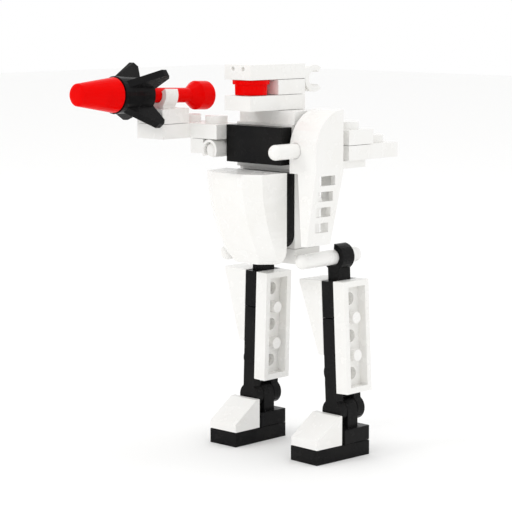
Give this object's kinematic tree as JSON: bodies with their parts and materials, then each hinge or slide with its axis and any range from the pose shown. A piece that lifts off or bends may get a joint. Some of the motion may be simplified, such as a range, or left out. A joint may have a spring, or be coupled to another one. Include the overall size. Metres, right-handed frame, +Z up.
{
  "type": "brick-built toy robot",
  "caption": "Standing humanoid toy of snap-together bricks: arm shell, rear wing plates, jointed legs, rocket held in the right hand.",
  "frame": {"origin": "on the floor under the middle of the bounding box", "axes": "+Z up, the robot faces -Y, its left side is +X"},
  "size_m": [0.0438, 0.0594, 0.0832],
  "materials": {
    "white_plastic": "glossy moulded",
    "black_plastic": "glossy moulded",
    "red_plastic": "glossy moulded"
  },
  "bodies": {
    "torso": {"pelvis_plate": "white_plastic", "torso_brick": "white_plastic", "belly_plate": "black_plastic", "breast_shell": "white_plastic", "back_bracket": "white_plastic", "shoulder_bar_plate": "white_plastic", "chest_bracket": "white_plastic", "chest_tile": "black_plastic", "neck_plate": "white_plastic", "wing_long_plate": "white_plastic", "wing_top_plate": "white_plastic"},
    "head": {"jaw_plate": "white_plastic", "visor_lamp": "red_plastic", "head_core": "white_plastic", "brow_plate": "white_plastic"},
    "left_arm": {"left_arm_shell": "white_plastic"},
    "right_arm": {"arm_corner_plate": "white_plastic", "right_arm_clip": "white_plastic", "rocket_clip_plate": "white_plastic"},
    "rocket_rod": {"rocket_rod": "red_plastic"},
    "rocket_tip": {"fin_collar": "black_plastic", "nose_cone": "red_plastic"},
    "left_leg": {"left_hip_clip": "black_plastic", "left_shin_hinge": "black_plastic", "left_shin_plate": "white_plastic", "left_thigh_fin": "white_plastic"},
    "right_leg": {"right_hip_clip": "black_plastic", "right_shin_hinge": "black_plastic", "right_shin_plate": "white_plastic", "right_thigh_fin": "white_plastic"},
    "left_foot": {"left_ankle_base": "black_plastic", "left_sole": "black_plastic", "left_toe_slope": "white_plastic"},
    "right_foot": {"right_ankle_base": "black_plastic", "right_sole": "black_plastic", "right_toe_slope": "white_plastic"}
  },
  "joints": [
    {"name": "neck_turn", "type": "hinge", "parent": "torso", "child": "head", "pos_m": [0.00486, 0.00977, 0.0736], "axis": [0, 0, 1], "range_deg": [-50, 55]},
    {"name": "left_shoulder_swing", "type": "hinge", "parent": "torso", "child": "left_arm", "pos_m": [0.01521, 0.00557, 0.0656], "axis": [0, 1, 0], "range_deg": [-5, 10]},
    {"name": "right_shoulder_swing", "type": "hinge", "parent": "torso", "child": "right_arm", "pos_m": [-0.00549, 0.00297, 0.06485], "axis": [0, 1, 0], "range_deg": [-60, 0]},
    {"name": "rocket_slide", "type": "slide", "parent": "right_arm", "child": "rocket_rod", "axis": [0, -0.9992, 0.0401], "range_m": [0, 0.0045]},
    {"name": "rocket_tip_spin", "type": "hinge", "parent": "rocket_rod", "child": "rocket_tip", "pos_m": [-0.01514, -0.00503, 0.07625], "axis": [0, -0.9992, 0.0401], "continuous": true},
    {"name": "left_hip_swing", "type": "hinge", "parent": "torso", "child": "left_leg", "pos_m": [0.01576, 0.01657, 0.0425], "axis": [0, 1, 0], "range_deg": [-45, 5]},
    {"name": "right_hip_swing", "type": "hinge", "parent": "torso", "child": "right_leg", "pos_m": [-0.00604, 0.01657, 0.0425], "axis": [0, 1, 0], "range_deg": [-5, 45]},
    {"name": "left_ankle_roll", "type": "hinge", "parent": "left_leg", "child": "left_foot", "pos_m": [0.01736, 0.01657, 0.0098], "axis": [0, 1, 0], "range_deg": [-30, 30]},
    {"name": "right_ankle_roll", "type": "hinge", "parent": "right_leg", "child": "right_foot", "pos_m": [-0.00707, 0.01657, 0.0098], "axis": [0, 1, 0], "range_deg": [-30, 30]}
  ]
}
